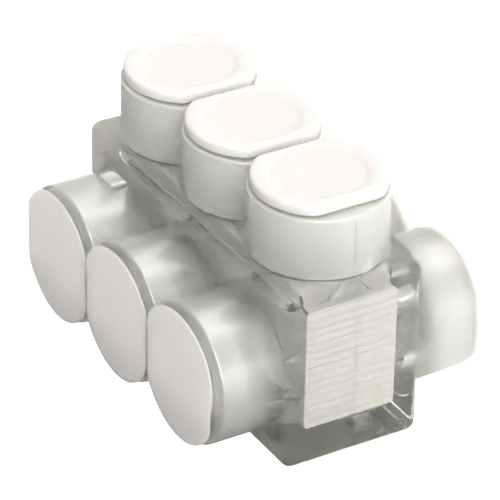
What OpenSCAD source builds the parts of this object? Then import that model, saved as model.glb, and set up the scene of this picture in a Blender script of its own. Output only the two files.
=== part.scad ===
// Insulated multi-tap wire connector, three ports, wire entry from both sides.
// A drilled and tapped metal bar sits inside a clear one-piece moulded cover.
// X runs along the row of ports, front entries face -Y, rear entries face +Y,
// Z is up. The origin is at the middle of the cover's flat bottom.

/* [Cover block] */
// Distance between neighbouring ports
pitch = 27; // [26:0.25:28]
// Depth of the block, front face to rear face
block_w = 32.8; // [31:0.1:34]
// Height of the block
block_h = 42.2; // [41:0.1:44]
// Rounding of the block's edges
block_r = 2.4; // [1.5:0.1:3]
// Rounding of the two long edges on top
block_top_r = 0.8; // [0.4:0.1:2.4]
// Cover beyond the outermost collars, at each end
block_end = 0.8; // [0.5:0.1:1.5]
// Width of the mould's parting line
seam_w = 0.5; // [0.3:0.1:0.8]
// How far the parting line stands proud
seam_t = 0.15; // [0.1:0.05:0.3]

/* [Screw towers] */
// Outer diameter of a tower
tower_d = 30; // [29:0.1:30.5]
// Height of a tower above the block
tower_h = 14.6; // [13:0.1:16]
// Bore of a tower, for the screw and the key
tower_bore_d = 20; // [19:0.1:21]

/* [Wire collars] */
// Outer diameter of a collar
collar_d = 31.2; // [30:0.1:32]
// Length of a collar from the block's face
collar_len = 14.6; // [13:0.1:16]
// Bore of a collar, for the wire's insulation
collar_bore_d = 21; // [20:0.1:21.6]
// Height of the ports' axes above the bottom
port_z = 20.3; // [19.8:0.1:21]
// Rounding of the tower and collar rims
rim_r = 0.4; // [0.3:0.1:1]

/* [Connector bar] */
// Depth of the bar, along the wire
bar_w = 22; // [21:0.5:23]
// Height of the bar
bar_h = 28.6; // [27.5:0.1:29.5]
// Height of the bar's underside above the bottom
bar_z = 8; // [7.5:0.1:8.5]
// Cover left over each end of the bar
bar_end = 3.5; // [2.5:0.1:4]
// Chamfer along the bar's edges
bar_c = 0.6; // [0.3:0.1:1]
// Diameter of a wire bore
wire_d = 17; // [16.5:0.1:17.4]
// Diameter of a screw hole in the bar
hole_d = 15.7; // [14:0.1:15.7]

/* [Set screws] */
// Radial room between a screw and its hole
screw_play = 0.05; // [0.02:0.01:0.1]
// Length of a screw
screw_len = 14; // [12:0.5:15]
// Width across the flats of the key socket
key_af = 8; // [6:0.5:10]
// Depth of the key socket
key_depth = 7; // [5:0.5:8]
// How far a screw can be driven in
screw_travel = 12; // [10:0.5:12]

/* [Screw caps] */
// Diameter of a screw cap's head
top_d = 28.8; // [28:0.1:29.2]
// Width across the two flats of the head
top_flats = 24; // [22:0.1:25]
// Thickness of the head
top_t = 2.6; // [2:0.1:3]
// Open gap under the head's rim
top_gap = 0.6; // [0.4:0.1:1]
// Depth of the plug in the tower
top_plug = 6; // [5:0.1:7]

/* [Port caps] */
// Diameter of a port cap's head
end_d = 30.2; // [28.5:0.1:31]
// Width across the two flats of the head
end_flats = 26.7; // [25:0.1:26.8]
// Thickness of the head
end_t = 0.8; // [0.7:0.1:1.2]
// Open gap under the head's rim
end_gap = 1.3; // [0.8:0.1:1.6]
// How far the head's edge is undercut behind
end_under = 1.2; // [0.6:0.1:1.6]
// Depth of the plug in the collar
end_plug = 8; // [7:0.1:9]

/* [Caps in common] */
// Wall thickness of a plug
plug_wall = 1.7; // [1.4:0.1:2]
// Radial room between a plug's wall and its bore
plug_play = 0.4; // [0.3:0.05:0.6]
// Radial room between a plug's sealing beads and its bore
bead_play = 0.12; // [0.1:0.01:0.2]
// Diameter of the shoulder that sits on the rim
shoulder_d = 22.6; // [22.2:0.1:24.4]
// Diameter of the shallow panel in a screw cap's head
panel_d = 21.6; // [20:0.1:22]

/* [Hidden] */
$fn = 96;

block_l = 2*pitch + collar_d + 2*block_end;
bar_l = block_l - 2*bar_end;
bar_top = bar_z + bar_h;
tower_top = block_h + tower_h;
collar_end = block_w/2 + collar_len;
screw_r = hole_d/2 - screw_play;
wire_top = port_z + wire_d/2;
screw_z = wire_top + 0.5;
places = [-1, 0, 1];

cover_colour = [0.80, 0.82, 0.79, 0.45];
metal_colour = [0.83, 0.83, 0.81];
screw_colour = [0.72, 0.72, 0.71];
cap_colour = [0.93, 0.93, 0.92];

// A rectangle with round corners, centred; the two upper corners may differ
module rounded(w, h, r, upper) {
  translate([r - w/2, -h/2]) square([w - 2*r, h]);
  translate([-w/2, r - h/2]) square([w, h - r - upper]);
  translate([upper - w/2, 0]) square([w - 2*upper, h/2]);
  for (s = [-1, 1]) {
    translate([s*(w/2 - r), r - h/2]) circle(r);
    translate([s*(w/2 - upper), h/2 - upper]) circle(upper);
  }
}

// A block with all its edges rounded, standing on Z = 0
module rounded_block(l, w, h, r, top_r) {
  intersection() {
    linear_extrude(height = h) rounded(l, w, r, r);
    translate([0, w/2, h/2]) rotate([90, 0, 0])
      linear_extrude(height = w) rounded(l, h, r, r);
    translate([-l/2, 0, h/2]) rotate([90, 0, 90])
      linear_extrude(height = l) rounded(w, h, r, top_r);
  }
}

// A round post along +Z whose top outer edge is rounded
module post(d, h, r) {
  rotate_extrude() {
    square([d/2 - r, h]);
    square([d/2, h - r]);
    translate([d/2 - r, h - r]) circle(r);
  }
}

// The outline of the bar seen from its end, as insert and as cavity
module bar_outline() {
  a = bar_w/2;
  c = bar_c;
  polygon([[-a + c, bar_z], [a - c, bar_z], [a, bar_z + c], [a, bar_top - c],
           [a - c, bar_top], [-a + c, bar_top], [-a, bar_top - c], [-a, bar_z + c]]);
}

module bar_blank() {
  translate([-bar_l/2, 0, 0]) rotate([90, 0, 90])
    linear_extrude(height = bar_l) bar_outline();
}

// The clear cover: block, three towers and six collars in one moulding
module housing() {
  color(cover_colour) difference() {
    union() {
      rounded_block(block_l, block_w, block_h, block_r, block_top_r);
      for (i = places) {
        translate([pitch*i, 0, block_h - 4])
          post(tower_d, tower_h + 4, rim_r);
        for (s = [-1, 1])
          translate([pitch*i, s*(block_w/2 - 4), port_z]) rotate([-90*s, 0, 0])
            post(collar_d, collar_len + 4, rim_r);
      }
      // parting line round the two ends
      rotate([90, 0, 0]) linear_extrude(height = seam_w, center = true) {
        translate([-block_l/2 - seam_t, block_r])
          square([block_l + 2*seam_t, block_h - 2*block_r]);
        translate([-pitch - tower_d/2 - seam_t, block_h - 2])
          square([2*pitch + tower_d + 2*seam_t, tower_h + 2 - 2*rim_r]);
      }
    }
    bar_blank();
    for (i = places) {
      translate([pitch*i, 0, bar_top - 1])
        cylinder(d = tower_bore_d, h = tower_h + block_h);
      for (s = [-1, 1])
        translate([pitch*i, s*(bar_w/2 - 1), port_z]) rotate([-90*s, 0, 0])
          cylinder(d = collar_bore_d, h = block_w + collar_len);
    }
  }
}

// The metal bar: three wire bores from front to rear, three screw holes from above
module connector_bar() {
  color(metal_colour) difference() {
    bar_blank();
    for (i = places) {
      translate([pitch*i, 0, port_z]) rotate([90, 0, 0])
        cylinder(d = wire_d, h = bar_w + 2, center = true);
      translate([pitch*i, 0, port_z]) cylinder(d = hole_d, h = bar_h);
      // countersinks at the mouths
      for (s = [-1, 1])
        translate([pitch*i, s*(bar_w/2 - 0.8), port_z]) rotate([-90*s, 0, 0])
          cylinder(d1 = wire_d, d2 = wire_d + 3.2, h = 1.6);
      translate([pitch*i, 0, bar_top - 0.5])
        cylinder(d1 = hole_d, d2 = hole_d + 2, h = 1);
    }
  }
}

// A set screw with a hexagon socket, raised clear of its wire bore
module set_screw(i) {
  r = screw_r;
  color(screw_colour) translate([pitch*i, 0, screw_z]) difference() {
    rotate_extrude()
      polygon([[0, 0], [r - 1.6, 0], [r, 1.2], [r, screw_len - 0.9],
               [r - 0.9, screw_len], [0, screw_len]]);
    translate([0, 0, screw_len - key_depth])
      cylinder(d = key_af/cos(30), h = key_depth + 1, $fn = 6);
    // lead-in round the socket
    translate([0, 0, screw_len - 0.5])
      cylinder(d1 = key_af/cos(30) - 0.6, d2 = key_af/cos(30) + 1.4, h = 1);
  }
}

// A cap: round head with two flats, a shoulder, and a hollow plug with two
// sealing beads. Z = 0 is the plane of the rim that it closes. A thin head is
// undercut behind its edge.
module cap(d, flats, t, gap, bore_d, depth, panel, under = 0) {
  pr = bore_d/2 - plug_play;
  br = bore_d/2 - bead_play;
  hr = pr - plug_wall;
  top = gap + t;
  // rounding of the head's upper edge, step of its lower edge, roof of the hollow
  e = min(0.8, 0.4*t);
  c = min(0.3, 0.25*t);
  roof = min(gap, 0.7);
  difference() {
    union() {
      intersection() {
        if (under > 0) {
          rotate_extrude()
            polygon([[0, gap], [d/2 - under, gap], [d/2, top - e],
                     [d/2, top - e/2], [d/2 - e/2, top], [0, top]]);
        } else {
          rotate_extrude() {
            translate([0, gap]) square([d/2 - e, t]);
            translate([0, gap + c]) square([d/2, t - e - c]);
            translate([0, gap]) square([d/2 - c, 2*c]);
            translate([d/2 - e, top - e]) circle(e);
          }
        }
        translate([0, d/2 + 1, top/2 + 5]) rotate([90, 0, 0])
          linear_extrude(height = d + 2) translate([0, -5]) union() {
            translate([-flats/2, -top/2]) square([flats, top - e]);
            translate([-flats/2 + e, -top/2]) square([flats - 2*e, top]);
            for (s = [-1, 1]) translate([s*(flats/2 - e), top/2 - e]) circle(e);
          }
      }
      translate([0, 0, 0.05]) cylinder(d = shoulder_d, h = gap + 0.5);
      rotate_extrude() {
        translate([0, -depth + 0.5]) square([pr, depth + 1]);
        translate([0, -depth]) square([pr - 0.5, 1]);
        for (z = [-depth + 1.5, -depth + 4])
          translate([br - 0.8, z]) circle(0.8);
      }
    }
    // hollow of the plug
    translate([0, 0, -depth - 1]) cylinder(r = hr, h = depth + 1 + roof);
    // shallow panel in the head
    if (panel > 0) translate([0, 0, top - 0.3]) cylinder(d = panel, h = 1);
  }
}

module screw_cap(i) {
  color(cap_colour) translate([pitch*i, 0, tower_top])
    cap(top_d, top_flats, top_t, top_gap, tower_bore_d, top_plug, panel_d);
}

// s is -1 for the front row and 1 for the rear row
module port_cap(i, s) {
  color(cap_colour) translate([pitch*i, s*collar_end, port_z]) rotate([-90*s, 0, 0])
    cap(end_d, end_flats, end_t, end_gap, collar_bore_d, end_plug, 0, end_under);
}

housing();
connector_bar();
set_screw(-1);  // set_screw_1
set_screw(0);  // set_screw_2
set_screw(1);  // set_screw_3
screw_cap(-1);  // screw_cap_1
screw_cap(0);  // screw_cap_2
screw_cap(1);  // screw_cap_3
port_cap(-1, -1);  // port_cap_front_1
port_cap(0, -1);  // port_cap_front_2
port_cap(1, -1);  // port_cap_front_3
port_cap(-1, 1);  // port_cap_rear_1
port_cap(0, 1);  // port_cap_rear_2
port_cap(1, 1);  // port_cap_rear_3
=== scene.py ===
"""Looks of an insulated multi-tap wire connector: a clear moulded cover over an
aluminium bar, set screws, and milky push-in caps. Lengths are in millimetres in
the mesh code and in metres in the scene."""
import math

import bpy
import numpy as np
from mathutils import Matrix, Vector


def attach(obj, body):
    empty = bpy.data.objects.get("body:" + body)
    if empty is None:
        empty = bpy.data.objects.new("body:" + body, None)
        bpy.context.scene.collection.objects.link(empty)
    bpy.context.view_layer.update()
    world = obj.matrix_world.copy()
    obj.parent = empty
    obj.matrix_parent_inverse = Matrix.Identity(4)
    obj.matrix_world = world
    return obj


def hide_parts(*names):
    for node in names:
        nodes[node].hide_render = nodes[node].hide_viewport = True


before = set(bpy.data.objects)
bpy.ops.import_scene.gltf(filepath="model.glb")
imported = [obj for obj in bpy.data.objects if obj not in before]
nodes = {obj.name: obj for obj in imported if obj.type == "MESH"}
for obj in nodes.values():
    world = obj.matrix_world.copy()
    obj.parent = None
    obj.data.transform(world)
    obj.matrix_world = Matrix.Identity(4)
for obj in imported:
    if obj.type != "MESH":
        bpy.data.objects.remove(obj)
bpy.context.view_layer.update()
scene = bpy.context.scene

# ------------------------------------------------------------------ dimensions
PITCH = 27.0
PLACES = (-PITCH, 0.0, PITCH)
BLOCK_W, BLOCK_H, BLOCK_R, LONG_R = 32.8, 42.2, 2.4, 0.8
COLLAR_R, COLLAR_LEN, COLLAR_BORE, PORT_Z = 15.6, 14.6, 10.5, 20.3
BLOCK_L = 2 * PITCH + 2 * COLLAR_R + 1.6
TOWER_R, TOWER_H, TOWER_BORE = 15.0, 14.6, 10.0
RIM_R = 0.4
BAR_W, BAR_H, BAR_Z = 22.0, 28.6, 8.0
BAR_L = BLOCK_L - 7.0
BAR_TOP = BAR_Z + BAR_H
TOWER_TOP = BLOCK_H + TOWER_H
COLLAR_END = BLOCK_W / 2 + COLLAR_LEN
SCREW_R, SCREW_LEN, SCREW_Z = 7.8, 14.0, PORT_Z + 8.5 + 0.5
KEY_AF, KEY_DEPTH = 8.0, 7.0


# ------------------------------------------------------------------- mesh tools
def new_object(name, verts_mm, faces, normals=None, smooth=True):
    me = bpy.data.meshes.new(name)
    me.from_pydata((np.asarray(verts_mm) / 1000.0).tolist(), [], [list(f) for f in faces])
    me.validate()
    me.polygons.foreach_set("use_smooth", [smooth] * len(me.polygons))
    if normals is not None:
        me.normals_split_custom_set_from_vertices(np.asarray(normals).tolist())
    me.update()
    ob = bpy.data.objects.new(name, me)
    scene.collection.objects.link(ob)
    return ob


def lines(*stretches):
    """Grid lines: each stretch is (start, end, step)."""
    out = []
    for a, b, h in stretches:
        n = max(1, round((b - a) / h))
        out += list(np.linspace(a, b, n + 1))
    return np.unique(np.round(out, 4))


def mirrored(half):
    half = np.asarray(half)
    return np.unique(np.round(np.concatenate([-half, half]), 4))


def gradient(f, p, e=2e-3):
    g = np.empty_like(p)
    for k in range(3):
        d = np.zeros(3)
        d[k] = e
        g[:, k] = (f(p + d) - f(p - d)) / (2 * e)
    return g


def surface_nets(f, xs, ys, zs):
    """Closed quad mesh of f = 0 on a grid with uneven lines, moved onto the surface."""
    grid = np.stack(np.meshgrid(xs, ys, zs, indexing="ij"), -1)
    shape = grid.shape[:3]
    val = f(grid.reshape(-1, 3)).reshape(shape)
    inside = val < 0
    total = np.zeros(tuple(n - 1 for n in shape) + (3,))
    count = np.zeros(tuple(n - 1 for n in shape))
    cells = tuple(n - 1 for n in shape)
    for axis in range(3):
        o1, o2 = [k for k in range(3) if k != axis]
        lo = [slice(None)] * 3
        hi = [slice(None)] * 3
        lo[axis], hi[axis] = slice(0, -1), slice(1, None)
        va, vb = val[tuple(lo)], val[tuple(hi)]
        cross = (va < 0) != (vb < 0)
        t = np.where(cross, va / np.where(cross, va - vb, 1), 0)
        pa, pb = grid[tuple(lo)], grid[tuple(hi)]
        pt = (pa + (pb - pa) * t[..., None]) * cross[..., None]
        for d1 in (0, 1):
            for d2 in (0, 1):
                sl = [slice(None)] * 3
                sl[o1] = slice(d1, d1 + cells[o1])
                sl[o2] = slice(d2, d2 + cells[o2])
                total += pt[tuple(sl)]
                count += cross[tuple(sl)]
    active = count > 0
    index = np.full(cells, -1, int)
    index[active] = np.arange(active.sum())
    p = total[active] / count[active][:, None]
    quads = []
    for axis in range(3):
        o1, o2 = (axis + 1) % 3, (axis + 2) % 3
        lo = [slice(1, -1)] * 3
        hi = [slice(1, -1)] * 3
        lo[axis], hi[axis] = slice(0, -1), slice(1, None)
        a, b = inside[tuple(lo)], inside[tuple(hi)]
        for want, flip in ((a & ~b, False), (~a & b, True)):
            at = np.argwhere(want)
            if not len(at):
                continue
            base = at + 1
            base[:, axis] = at[:, axis]
            ring = []
            for d1, d2 in ((-1, -1), (0, -1), (0, 0), (-1, 0)):
                c = base.copy()
                c[:, o1] += d1
                c[:, o2] += d2
                ring.append(index[c[:, 0], c[:, 1], c[:, 2]])
            q = np.stack(ring, 1)
            quads.append(q[:, ::-1] if flip else q)
    quads = np.concatenate(quads)
    start = p.copy()
    for _ in range(12):
        g = gradient(f, p)
        n2 = np.maximum((g * g).sum(1), 1e-6)
        step = np.clip(f(p) / n2, -0.3, 0.3)[:, None] * g
        p = p - 0.8 * step
    far = np.linalg.norm(p - start, axis=1) > 0.6
    p[far] = start[far]
    g = gradient(f, p)
    normal = g / np.maximum(np.linalg.norm(g, axis=1), 1e-9)[:, None]
    return p, quads, normal


# ------------------------------------------------------------------- the cover
def round_box(p, half, centre, r):
    q = np.abs(p - centre) - (np.asarray(half) - r)
    return np.linalg.norm(np.maximum(q, 0), axis=1) + np.minimum(q.max(1), 0) - r


def long_block(x, y, z):
    """The block: sharper along its two long upper edges, round along all others."""
    up = z - BLOCK_H / 2
    t = np.clip((np.abs(x) - 37.5) / 4.5, 0, 1)
    r = np.where(up > 0, LONG_R + (BLOCK_R - LONG_R) * t * t * (3 - 2 * t), BLOCK_R)
    u, v = np.abs(y) - (BLOCK_W / 2 - r), np.abs(up) - (BLOCK_H / 2 - r)
    side = np.hypot(np.maximum(u, 0), np.maximum(v, 0)) + np.minimum(np.maximum(u, v), 0) - r
    u, v = np.abs(x) - (BLOCK_L / 2 - BLOCK_R), side + BLOCK_R
    return np.hypot(np.maximum(u, 0), np.maximum(v, 0)) + np.minimum(np.maximum(u, v), 0) - BLOCK_R


def round_disc(rad, along, r, rim):
    """A post of radius r whose end is at along = 0, with a rounded rim."""
    qx, qy = rad - (r - rim), along + rim
    return np.hypot(np.maximum(qx, 0), np.maximum(qy, 0)) + np.minimum(np.maximum(qx, qy), 0) - rim


def round_union(a, b, r):
    u, v = np.maximum(r - a, 0), np.maximum(r - b, 0)
    return np.maximum(r, np.minimum(a, b)) - np.hypot(u, v)


def round_cut(a, b, r):
    """a without b, the edge between them rounded."""
    b = -b
    u, v = np.maximum(r + a, 0), np.maximum(r + b, 0)
    return np.minimum(-r, np.maximum(a, b)) + np.hypot(u, v)


def cover(p):
    x, y, z = p.T
    block = long_block(x, y, z)
    tower = collar = None
    for cx in PLACES:
        t = round_disc(np.hypot(x - cx, y), z - TOWER_TOP, TOWER_R, RIM_R)
        c = round_disc(np.hypot(x - cx, z - PORT_Z), np.abs(y) - COLLAR_END, COLLAR_R, RIM_R)
        tower = t if tower is None else np.minimum(tower, t)
        collar = c if collar is None else round_union(collar, c, 0.5)
    tower = np.maximum(tower, BLOCK_H - 3 - z)
    out = round_union(round_union(block, tower, 0.35), collar, 0.7)
    seam = np.maximum(np.maximum(np.abs(y) - 0.28, out - 0.3),
                      np.maximum(np.maximum(BLOCK_R - z, z - TOWER_TOP + 1.0), 38.0 - np.abs(x)))
    out = np.minimum(out, seam)
    e = 0.04
    bar = round_box(p, (BAR_L / 2 - e, BAR_W / 2 - e, BAR_H / 2 - e), (0, 0, BAR_Z + BAR_H / 2), 0.3)
    out = np.maximum(out, -bar)
    bore = None
    for cx in PLACES:
        t = np.maximum(np.hypot(x - cx, y) - TOWER_BORE, BAR_TOP - 0.5 - z)
        c = np.maximum(np.hypot(x - cx, z - PORT_Z) - COLLAR_BORE, BAR_W / 2 - 0.5 - np.abs(y))
        t = np.minimum(t, c)
        bore = t if bore is None else np.minimum(bore, t)
    return round_cut(out, bore, 0.4)


def build_cover():
    xs = mirrored(lines((0, 0.35, 0.35), (0.35, 38.8, 0.9), (38.8, 41.0, 0.5), (41.0, 44.3, 0.3)))
    ys = mirrored(lines((0, 0.55, 0.11), (0.55, 1.2, 0.22), (1.2, 9.6, 0.9), (9.6, 12.4, 0.5), (12.4, 13.8, 0.7),
                        (13.8, 15.2, 0.35), (15.2, 16.9, 0.17), (16.9, 17.7, 0.4), (17.7, 30.2, 1.6), (30.2, 31.4, 0.15)))
    zs = lines((-0.6, 3.0, 0.33), (3.0, 35.6, 0.9), (35.6, 37.6, 0.5), (37.6, 39.6, 0.7), (39.6, 41.1, 0.35),
               (41.1, 42.8, 0.17), (42.8, 43.6, 0.4), (43.6, 56.0, 1.6), (56.0, 57.2, 0.15))
    return surface_nets(cover, xs, ys, zs)


verts, quads, normals = build_cover()
housing = new_object("clear_cover", verts, quads, normals)
print("cover", len(verts), "vertices", len(quads), "quads")

# ------------------------------------------------------------------- the caps
N_ROUND = 144
THETA = np.linspace(0, 2 * np.pi, N_ROUND, endpoint=False)


def ring_mesh(rings):
    """rings: list of (radius array or number, z). The first and last close on the axis."""
    verts, faces = [], []
    for r, z in rings:
        r = np.broadcast_to(r, THETA.shape)
        verts.append(np.stack([r * np.cos(THETA), r * np.sin(THETA), np.full_like(THETA, z)], 1))
    n = N_ROUND
    for k in range(len(rings) - 1):
        for i in range(n):
            j = (i + 1) % n
            faces.append((k * n + i, k * n + j, (k + 1) * n + j, (k + 1) * n + i))
    verts = np.concatenate(verts)
    first, last = len(verts), len(verts) + 1
    verts = np.concatenate([verts, [[0, 0, rings[0][1]]], [[0, 0, rings[-1][1]]]])
    for i in range(n):
        j = (i + 1) % n
        faces.append((first, j, i))
        faces.append((last, (len(rings) - 1) * n + i, (len(rings) - 1) * n + j))
    return verts, faces


def arc(r0, z0, r, a0, a1, n):
    """(radius offset, z) along an arc of radius r about (r0, z0), degrees."""
    return [(r0 + r * math.cos(math.radians(a)), z0 + r * math.sin(math.radians(a))) for a in np.linspace(a0, a1, n)]


def cap_mesh(d, flats, t, gap, bore, depth, panel, under=0):
    """A cap on the +Z axis; Z = 0 is the rim that it closes."""
    top, e, c = gap + t, min(0.8, 0.4 * t), min(0.3, 0.25 * t)
    roof = min(gap, 0.7)
    pr, br = bore - 0.4, bore - 0.12
    hr = pr - 1.7
    sr = 11.3
    R = d / 2
    f = (flats / 2) / np.maximum(np.abs(np.cos(THETA)), 1e-6)
    outline = (R ** -46.0 + f ** -46.0) ** (-1 / 46.0)
    rings = []
    # hollow of the plug, from its roof down
    rings += [(0.02 * hr, roof), (0.5 * hr, roof), (hr - 0.6, roof)]
    rings += [(hr - 0.6 + a, roof - 0.6 + b) for a, b in arc(0, 0, 0.6, 90, 0, 4)][1:]
    rings += [(hr, z) for z in np.linspace(roof - 0.9, -depth + 0.6, 5)]
    # plug lip
    m, w = (hr + pr) / 2, (pr - hr) / 2
    rings += [(m + a, -depth + 0.5 + b) for a, b in [(x, 0.5 / w * y) for x, y in arc(0, 0, w, 180, 360, 9)]]
    # beads
    for z in (-depth + 1.5, -depth + 4.0):
        half = math.degrees(math.acos((pr - (br - 0.8)) / 0.8))
        rings += [(a, b) for a, b in arc(br - 0.8, z, 0.8, -half, half, 7)]
        rings += [(pr, z + 1.1)]
    rings += [(pr, -0.35)] + [(pr + a, -0.3 + b) for a, b in [(0.03, 0.2), (0.12, 0.3), (0.3, 0.35)]]
    # shoulder on the rim
    rings += [(sr - 0.4, 0.05), (sr - 0.1, 0.09), (sr, 0.2), (sr, gap - 0.12), (sr + 0.08, gap - 0.03), (sr + 0.25, gap)]
    # head: underside, side, rounded upper edge
    if under:
        # a thin head, undercut behind its edge
        rings += [(outline - under - 0.1, gap), (outline - under, gap + 0.01)]
        rings += [(outline - k * under, gap + (1 - k) * (t - 0.08)) for k in (0.75, 0.5, 0.25, 0.08)]
        rings += [(outline, top - 0.07), (outline, top - 0.04), (outline - 0.015, top - 0.012), (outline - 0.04, top)]
        rings += [(outline - 0.1, top), (outline - 0.25, top), (outline - 0.5, top)]
        rings += [(outline * k, top) for k in (0.92, 0.8, 0.65, 0.5, 0.35, 0.2, 0.1, 0.02)]
    else:
        rings += [(outline - 1.0, gap), (outline - c, gap), (outline - 0.4 * c, gap + 0.2 * c), (outline - 0.08 * c, gap + 0.55 * c)]
        rings += [(outline, z) for z in np.linspace(gap + c, top - e, 4)]
        rings += [(outline - e + a, top - e + b) for a, b in arc(0, 0, e, 10, 90, 8)]
    if panel:
        q = np.minimum(panel / 2, outline - e - 0.45)
        rings += [(q + a, top - b) for a, b in ((0.3, 0.0), (0.1, 0.03), (-0.1, 0.12), (-0.3, 0.21), (-0.5, 0.27), (-0.75, 0.3))]
        rings += [(s * (panel / 2 - 1.2), top - 0.3) for s in (1.0, 0.75, 0.5, 0.25, 0.02)]
    return ring_mesh(rings)


def placed(verts, matrix):
    return np.asarray(verts) @ np.asarray(matrix)[:3, :3].T + np.asarray(matrix)[:3, 3]


TOP_CAP = cap_mesh(28.8, 24.0, 2.6, 0.6, TOWER_BORE, 6.0, 21.6)
END_CAP = cap_mesh(30.2, 26.7, 0.8, 1.3, COLLAR_BORE, 8.0, 0, 1.2)
caps = {}
for i, cx in enumerate(PLACES, 1):
    caps[f"screw_cap_{i}"] = new_object(f"screw_cap_skin_{i}", placed(TOP_CAP[0], Matrix.Translation((cx, 0, TOWER_TOP))), TOP_CAP[1])
    for side, s in (("front", -1), ("rear", 1)):
        m = Matrix.Translation((cx, s * COLLAR_END, PORT_Z)) @ Matrix.Rotation(math.radians(-90 * s), 4, "X")
        caps[f"port_cap_{side}_{i}"] = new_object(f"port_cap_skin_{side}_{i}", placed(END_CAP[0], m), END_CAP[1])

# --------------------------------------------------------------- the set screws
def screw_mesh():
    r, L, lead, depth = SCREW_R, SCREW_LEN, 1.41, 0.75
    turn = THETA / (2 * np.pi)
    hexr = (KEY_AF / 2) / np.cos((THETA % (np.pi / 3)) - np.pi / 6)
    rings = [(0.02, 0.35), (r * 0.5, 0.3), (r - 3.0, 0.12), (r - 2.2, 0.0)]
    for z in np.arange(0.0, L + 1e-6, lead / 9):
        w = np.abs((((z / lead - turn) % 1.0) - 0.5) * 2)
        w = np.clip(w * 1.35 - 0.12, 0, 1)
        rr = r - depth * w
        rr = np.minimum(rr, r - 1.9 + 1.15 * z)
        rr = np.minimum(rr, r - 1.2 + 1.0 * (L - z))
        rings.append((rr, z))
    rings += [(r - 1.6, L), (hexr + 0.75, L), (hexr + 0.3, L - 0.12), (hexr + 0.05, L - 0.45)]
    rings += [(hexr, z) for z in np.linspace(L - 0.7, L - KEY_DEPTH, 6)]
    rings += [(hexr * 0.9, L - KEY_DEPTH - 0.05), (hexr * 0.5, L - KEY_DEPTH - 0.6), (0.02, L - KEY_DEPTH - 1.4)]
    return ring_mesh(rings)


SCREW = screw_mesh()
screws = {}
for i, cx in enumerate(PLACES, 1):
    screws[f"set_screw_{i}"] = new_object(f"threaded_screw_{i}", placed(SCREW[0], Matrix.Translation((cx, 0, SCREW_Z))), SCREW[1])


# ------------------------------------------------------------------- materials
def material(name):
    m = bpy.data.materials.new(name)
    m.use_nodes = True
    nt = m.node_tree
    return m, nt, nt.nodes["Principled BSDF"]


def add(nt, kind, **props):
    n = nt.nodes.new(kind)
    for k, v in props.items():
        if k in n.inputs:
            n.inputs[k].default_value = v
        else:
            setattr(n, k, v)
    return n


def ramp(nt, source, stops):
    n = nt.nodes.new("ShaderNodeValToRGB")
    el = n.color_ramp.elements
    while len(el) < len(stops):
        el.new(0.5)
    for e, (pos, col) in zip(el, stops):
        e.position = pos
        e.color = (*col, 1) if isinstance(col, tuple) else (col, col, col, 1)
    nt.links.new(source, n.inputs["Fac"])
    return n


def noise(nt, coords, scale, detail=2.0, rough=0.5):
    n = add(nt, "ShaderNodeTexNoise", Scale=scale, Detail=detail, Roughness=rough)
    nt.links.new(coords, n.inputs["Vector"])
    return n


def calc(nt, op, *values):
    n = add(nt, "ShaderNodeMath", operation=op)
    for i, v in enumerate(values):
        if isinstance(v, (int, float)):
            n.inputs[i].default_value = v
        else:
            nt.links.new(v, n.inputs[i])
    return n.outputs[0]


def rise(nt, value, start, end):
    """0 below start, 1 above end, smooth between."""
    n = add(nt, "ShaderNodeMapRange", interpolation_type="SMOOTHSTEP")
    n.inputs["From Min"].default_value, n.inputs["From Max"].default_value = start, end
    nt.links.new(value, n.inputs["Value"])
    return n.outputs["Result"]


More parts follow.
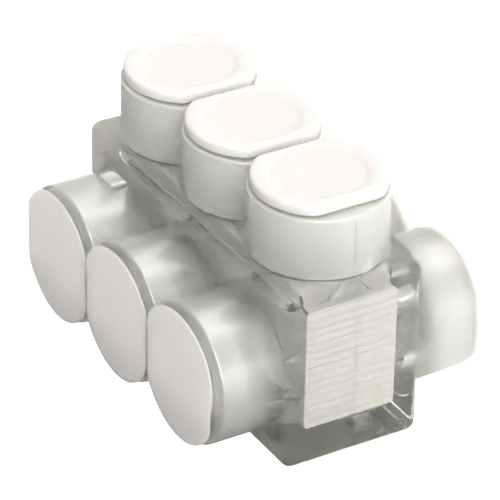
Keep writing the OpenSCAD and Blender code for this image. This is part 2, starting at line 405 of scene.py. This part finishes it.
def clear_plastic():
    """Clear in the thick block, cloudier in the thin walls of the towers and collars."""
    m, nt, b = material("clear_cover_plastic")
    co = add(nt, "ShaderNodeTexCoord").outputs["Object"]
    sep = add(nt, "ShaderNodeSeparateXYZ")
    nt.links.new(co, sep.inputs["Vector"])
    out = calc(nt, "ABSOLUTE", sep.outputs["Y"])
    tower = rise(nt, sep.outputs["Z"], 0.0420, 0.0429)
    up_tower = rise(nt, sep.outputs["Z"], 0.0424, 0.0568)
    collar = rise(nt, out, 0.0160, 0.0275)

    rear = rise(nt, sep.outputs["Y"], 0.0148, 0.0162)
    rear_collar = rise(nt, sep.outputs["Y"], 0.0160, 0.0240)
    on_top = rise(nt, sep.outputs["Z"], 0.0417, 0.0421)
    up_block = rise(nt, sep.outputs["Z"], 0.0060, 0.0150)

    def by_place(block, tower_foot, tower_top, collar_end):
        at_tower = calc(nt, "MULTIPLY_ADD", up_tower, tower_top - tower_foot, tower_foot - block)
        v = calc(nt, "ADD", calc(nt, "MULTIPLY", tower, at_tower), block)
        return calc(nt, "MULTIPLY_ADD", collar, collar_end - block, v)

    cloud = noise(nt, co, 60.0, 3.0)
    # tone of the cover: the towers painted darker toward their foot, a painted shade, and the rear collars a little
    # lighter, a painted light
    depth = calc(nt, "MULTIPLY_ADD", rear_collar, 0.12, by_place(0.95, 0.15, 0.7, 0.65))
    depth = calc(nt, "MULTIPLY_ADD", cloud.outputs["Fac"], 0.12, depth)
    at_end = rise(nt, calc(nt, "ABSOLUTE", sep.outputs["X"]), 0.04332, 0.04345)
    parting = calc(nt, "MULTIPLY", at_end, calc(nt, "SUBTRACT", 1.0, rise(nt, out, 0.00028, 0.0005)))
    depth = calc(nt, "MULTIPLY_ADD", parting, -0.5, depth)
    # painted shade: a dark line in the crease at the foot of each tower, and a darker rim at the rear collars' far
    # edge
    crease_shade = calc(nt, "MULTIPLY", rise(nt, sep.outputs["Z"], 0.04223, 0.0423), calc(nt, "SUBTRACT", 1.0, rise(nt, sep.outputs["Z"], 0.0426, 0.0430)))
    depth = calc(nt, "MULTIPLY_ADD", crease_shade, -0.6, depth)
    depth = calc(nt, "MULTIPLY_ADD", rise(nt, sep.outputs["Y"], 0.0290, 0.0303), -0.4, depth)
    tint = ramp(nt, depth, [(0.0, (0.26, 0.27, 0.255)), (0.1, (0.595, 0.62, 0.583)), (0.85, (0.845, 0.866, 0.828)), (1.0, (0.885, 0.92, 0.875))])
    nt.links.new(tint.outputs["Color"], b.inputs["Base Color"])
    grain = noise(nt, co, 140.0, 3.0).outputs["Fac"]
    rough = calc(nt, "MULTIPLY_ADD", grain, 0.04, calc(nt, "SUBTRACT", calc(nt, "MULTIPLY_ADD", rear, 0.15, calc(nt, "MULTIPLY_ADD", rise(nt, out, 0.0166, 0.0190), 0.11, by_place(0.03, 0.2, 0.2, 0.03))), 0.02))
    nt.links.new(rough, b.inputs["Roughness"])
    haze = calc(nt, "MULTIPLY_ADD", up_block, -0.03, by_place(0.99, 0.5, 0.42, 0.7))
    haze = calc(nt, "MULTIPLY_ADD", on_top, -0.01, haze)
    haze = calc(nt, "MULTIPLY_ADD", rear_collar, -0.1, haze)
    haze = calc(nt, "MULTIPLY_ADD", cloud.outputs["Fac"], -0.04, haze)
    nt.links.new(haze, b.inputs["Transmission Weight"])
    peel = noise(nt, co, 900.0, 2.0)
    bump = add(nt, "ShaderNodeBump", Strength=0.04, Distance=0.0001)
    nt.links.new(peel.outputs["Fac"], bump.inputs["Height"])
    nt.links.new(bump.outputs["Normal"], b.inputs["Normal"])
    b.inputs["Subsurface Weight"].default_value = 1.0
    b.inputs["Subsurface Radius"].default_value = (1.0, 1.0, 0.95)
    b.inputs["Subsurface Scale"].default_value = 0.001
    b.inputs["Specular IOR Level"].default_value = 0.8
    nt.links.new(by_place(0.0, 0.3, 0.3, 1.0), b.inputs["Coat Weight"])
    b.inputs["Coat Roughness"].default_value = 0.2
    b.inputs["Coat IOR"].default_value = 2.0
    b.inputs["IOR"].default_value = 1.46
    return m


def milky_plastic(name, low, high, glow):
    m, nt, b = material(name)
    co = add(nt, "ShaderNodeTexCoord").outputs["Object"]
    cloud = noise(nt, co, 220.0, 4.0)
    sep = add(nt, "ShaderNodeSeparateXYZ")
    nt.links.new(co, sep.inputs["Vector"])
    # random mottling, and the caps painted darker toward the bottom, a painted shade
    mottle_and_painted_shade = calc(nt, "MULTIPLY_ADD", rise(nt, sep.outputs["Z"], 0.006, 0.028), 0.5, calc(nt, "MULTIPLY_ADD", cloud.outputs["Fac"], 0.25, -0.03))
    # the rear port caps painted darker, a painted shade
    mottle_and_painted_shade = calc(nt, "MULTIPLY_ADD", rise(nt, sep.outputs["Y"], 0.0308, 0.0315), -0.4, mottle_and_painted_shade)
    tint = ramp(nt, mottle_and_painted_shade, [(0.0, (low * 0.66, low * 0.66, low * 0.65)), (0.35, (low * 0.96, low * 0.955, low * 0.945)), (0.7, (high, high * 0.995, high * 0.99))])
    nt.links.new(tint.outputs["Color"], b.inputs["Base Color"])
    rr = ramp(nt, noise(nt, co, 400.0, 3.0).outputs["Fac"], [(0.3, 0.38), (0.7, 0.5)])
    nt.links.new(rr.outputs["Color"], b.inputs["Roughness"])
    bump = add(nt, "ShaderNodeBump", Strength=0.12, Distance=0.0002)
    nt.links.new(noise(nt, co, 1300.0, 3.0).outputs["Fac"], bump.inputs["Height"])
    nt.links.new(bump.outputs["Normal"], b.inputs["Normal"])
    b.inputs["Transmission Weight"].default_value = 0.0
    b.inputs["Subsurface Weight"].default_value = 1.0
    b.inputs["Subsurface Radius"].default_value = (1.0, 0.95, 0.9)
    b.inputs["Subsurface Scale"].default_value = glow
    b.inputs["IOR"].default_value = 1.5
    return m


def bar_metal():
    m, nt, b = material("sawn_aluminium")
    co = add(nt, "ShaderNodeTexCoord").outputs["Object"]
    # saw marks: wavy lines along the bar's depth, about two millimetres apart
    saw = add(nt, "ShaderNodeTexWave", wave_type="BANDS", bands_direction="Z", Scale=165.0, Distortion=2.2, Detail=2.0)
    saw.inputs["Detail Scale"].default_value = 0.6
    nt.links.new(co, saw.inputs["Vector"])
    grit = noise(nt, co, 700.0, 3.0)
    sep = add(nt, "ShaderNodeSeparateXYZ")
    nt.links.new(co, sep.inputs["Vector"])
    end = rise(nt, calc(nt, "ABSOLUTE", sep.outputs["X"]), 0.0390, 0.0398)
    side = rise(nt, calc(nt, "ABSOLUTE", sep.outputs["Y"]), 0.01085, 0.01098)
    lines = calc(nt, "MULTIPLY", saw.outputs["Fac"], end)
    mark = calc(nt, "MULTIPLY_ADD", grit.outputs["Fac"], 0.5, calc(nt, "MULTIPLY", lines, 0.5))
    # sawn ends: lines; long sides: darker, a painted shade; top and bottom: plain
    flat = calc(nt, "MULTIPLY", calc(nt, "SUBTRACT", 1.0, end), calc(nt, "MULTIPLY_ADD", side, -0.34, 0.33))
    lined = calc(nt, "ADD", calc(nt, "MULTIPLY_ADD", grit.outputs["Fac"], 0.2, calc(nt, "MULTIPLY", lines, 0.8)), flat)
    # the long sides darker still, more painted shade
    lined = calc(nt, "MULTIPLY_ADD", calc(nt, "MULTIPLY", side, calc(nt, "SUBTRACT", 1.0, end)), -0.06, lined)
    tint = ramp(nt, lined, [(0.0, (0.62, 0.61, 0.59)), (0.12, (0.85, 0.82, 0.79)), (0.45, (0.98, 0.95, 0.92))])
    nt.links.new(tint.outputs["Color"], b.inputs["Base Color"])
    rr = ramp(nt, mark, [(0.3, 0.45), (0.7, 0.6)])
    nt.links.new(rr.outputs["Color"], b.inputs["Roughness"])
    bump = add(nt, "ShaderNodeBump", Strength=0.2, Distance=0.0003)
    nt.links.new(mark, bump.inputs["Height"])
    nt.links.new(bump.outputs["Normal"], b.inputs["Normal"])
    b.inputs["Metallic"].default_value = 0.08
    return m


def screw_metal():
    m, nt, b = material("turned_aluminium")
    co = add(nt, "ShaderNodeTexCoord").outputs["Object"]
    grain = noise(nt, co, 500.0, 3.0)
    tint = ramp(nt, grain.outputs["Fac"], [(0.3, (0.60, 0.60, 0.59)), (0.7, (0.72, 0.72, 0.71))])
    nt.links.new(tint.outputs["Color"], b.inputs["Base Color"])
    rr = ramp(nt, grain.outputs["Fac"], [(0.3, 0.28), (0.7, 0.42)])
    nt.links.new(rr.outputs["Color"], b.inputs["Roughness"])
    b.inputs["Metallic"].default_value = 1.0
    return m


CLEAR, BAR, SCREWS = clear_plastic(), bar_metal(), screw_metal()
# the screw caps' plastic is a greyer copy of the port caps' white plastic, a painted shade against the stronger light
# from above
TOP_CAPS, END_CAPS = milky_plastic("screw_cap_plastic_painted_shade", 0.69, 0.735, 0.003), milky_plastic("port_cap_plastic", 0.92, 0.97, 0.002)


def dress(ob, mat):
    ob.data.materials.clear()
    ob.data.materials.append(mat)


dress(housing, CLEAR)
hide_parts("housing")
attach(housing, "cover")
for name, ob in caps.items():
    dress(ob, TOP_CAPS if name.startswith("screw_cap") else END_CAPS)
    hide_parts(name)
    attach(ob, name)
for name, ob in screws.items():
    dress(ob, SCREWS)
    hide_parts(name)
    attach(ob, name)
bar = nodes["connector_bar"]
for s in bar.material_slots:
    s.material = BAR
if not bar.material_slots:
    bar.data.materials.append(BAR)

# ---------------------------------------------------------------- floor, lights
floor_mesh = bpy.data.meshes.new("floor")
floor_mesh.from_pydata([(-3, -3, 0), (3, -3, 0), (3, 3, 0), (-3, 3, 0)], [], [(0, 1, 2, 3)])
floor = bpy.data.objects.new("floor", floor_mesh)
floor.location.z = -0.0002
scene.collection.objects.link(floor)
fm, fnt, fb = material("pale_floor")
fco = add(fnt, "ShaderNodeTexCoord").outputs["Object"]
fr = ramp(fnt, noise(fnt, fco, 6.0).outputs["Fac"], [(0.3, (0.55, 0.55, 0.55)), (0.7, (0.57, 0.57, 0.57))])
fnt.links.new(fr.outputs["Color"], fb.inputs["Base Color"])
fb.inputs["Roughness"].default_value = 0.9
fb.inputs["Emission Color"].default_value = (1, 1, 1, 1)
fb.inputs["Emission Strength"].default_value = 1.0
floor.data.materials.append(fm)
floor.visible_diffuse = False
floor.visible_glossy = False
floor.visible_transmission = False
floor.visible_shadow = False
# the same floor as the part sees it: pale, and shaded where the part stands
bounce = bpy.data.objects.new("bounce_floor", floor_mesh.copy())
bounce.location.z = -0.0003
scene.collection.objects.link(bounce)
bm, bnt, bb = material("bounce_floor_paper")
bco = add(bnt, "ShaderNodeTexCoord").outputs["Object"]
bsep = add(bnt, "ShaderNodeSeparateXYZ")
bnt.links.new(bco, bsep.inputs["Vector"])
shade = calc(bnt, "MULTIPLY_ADD", noise(bnt, bco, 6.0).outputs["Fac"], 0.1, rise(bnt, bsep.outputs["Y"], -0.02, 0.03))
br = ramp(bnt, shade, [(0.0, (0.30, 0.30, 0.295)), (1.0, (0.84, 0.84, 0.83))])
bnt.links.new(br.outputs["Color"], bb.inputs["Base Color"])
bb.inputs["Roughness"].default_value = 0.9
bounce.data.materials.clear()
bounce.data.materials.append(bm)
bounce.visible_camera = False


# soft lights all round the part: direction, narrowness and strength of each
LIGHTS = [
    ((+0.469, +0.000, +0.883), 12, 2.152),
    ((-0.380, +0.276, +0.883), 12, 1.535),
    ((+0.733, -0.342, +0.588), 12, 5.438),
    ((+0.990, +0.000, +0.139), 12, 1.408),
    ((+0.801, +0.582, +0.139), 12, 0.899),
    ((-0.306, +0.942, +0.139), 12, 4.528),
    ((-0.801, +0.582, +0.139), 12, 0.463),
    ((-0.990, +0.000, +0.139), 12, 1.273),
    ((-0.801, -0.582, +0.139), 12, 1.109),
    ((+0.801, -0.582, +0.139), 12, 1.552),
    ((-0.634, +0.443, +0.634), 60, 0.099),
    ((-0.321, +0.443, +0.837), 60, 1.082),
    ((+0.047, +0.443, +0.895), 60, 2.145),
    ((+0.866, +0.443, +0.232), 60, 0.655),
]
world = bpy.data.worlds.new("studio")
scene.world = world
world.use_nodes = True
wnt = world.node_tree
sky = add(wnt, "ShaderNodeTexCoord").outputs["Generated"]
total = 0.0
for direction, power, strength in LIGHTS:
    dot = add(wnt, "ShaderNodeVectorMath", operation="DOT_PRODUCT")
    wnt.links.new(sky, dot.inputs[0])
    dot.inputs[1].default_value = direction
    glow = calc(wnt, "POWER", calc(wnt, "MAXIMUM", dot.outputs["Value"], 0.0), float(power))
    total = calc(wnt, "MULTIPLY_ADD", glow, strength, total)
bg = wnt.nodes["Background"]
bg.inputs["Color"].default_value = (1.05, 1.015, 0.985, 1)
wnt.links.new(total, bg.inputs["Strength"])

# ------------------------------------------------------------------- the camera
AZ, EL, DIST, FOCAL, TX, TY, ROLL = 58.9335, 30.915, 722.94, 3354.1, 0.328, -17.669, 1.119
a, e, r = math.radians(AZ), math.radians(EL), math.radians(ROLL)
back = Vector((math.sin(a) * math.cos(e), -math.cos(a) * math.cos(e), math.sin(e)))
right = Vector((math.cos(a), math.sin(a), 0))
up = back.cross(right)
R = right * math.cos(r) + up * math.sin(r)
U = -right * math.sin(r) + up * math.cos(r)
place = Vector((0, 0, 31.1)) + back * DIST
aim = (back + R * (TX / FOCAL) - U * (TY / FOCAL)).normalized()
R = (R - aim * R.dot(aim)).normalized()
U = aim.cross(R)
cam_data = bpy.data.cameras.new("camera")
cam_data.sensor_width = 36.0
cam_data.lens = FOCAL / 500.0 * 36.0
cam_data.clip_start, cam_data.clip_end = 0.01, 20.0
cam = bpy.data.objects.new("camera", cam_data)
scene.collection.objects.link(cam)
m = Matrix((R, U, aim)).transposed().to_4x4()
m.translation = place / 1000.0
cam.matrix_world = m
scene.camera = cam

scene.view_settings.view_transform = "Standard"
scene.cycles.use_denoising = True
scene.cycles.denoising_input_passes = "RGB"
scene.cycles.transparent_max_bounces = 16
scene.cycles.transmission_bounces = 16
scene.cycles.max_bounces = 16

bpy.context.view_layer.update()
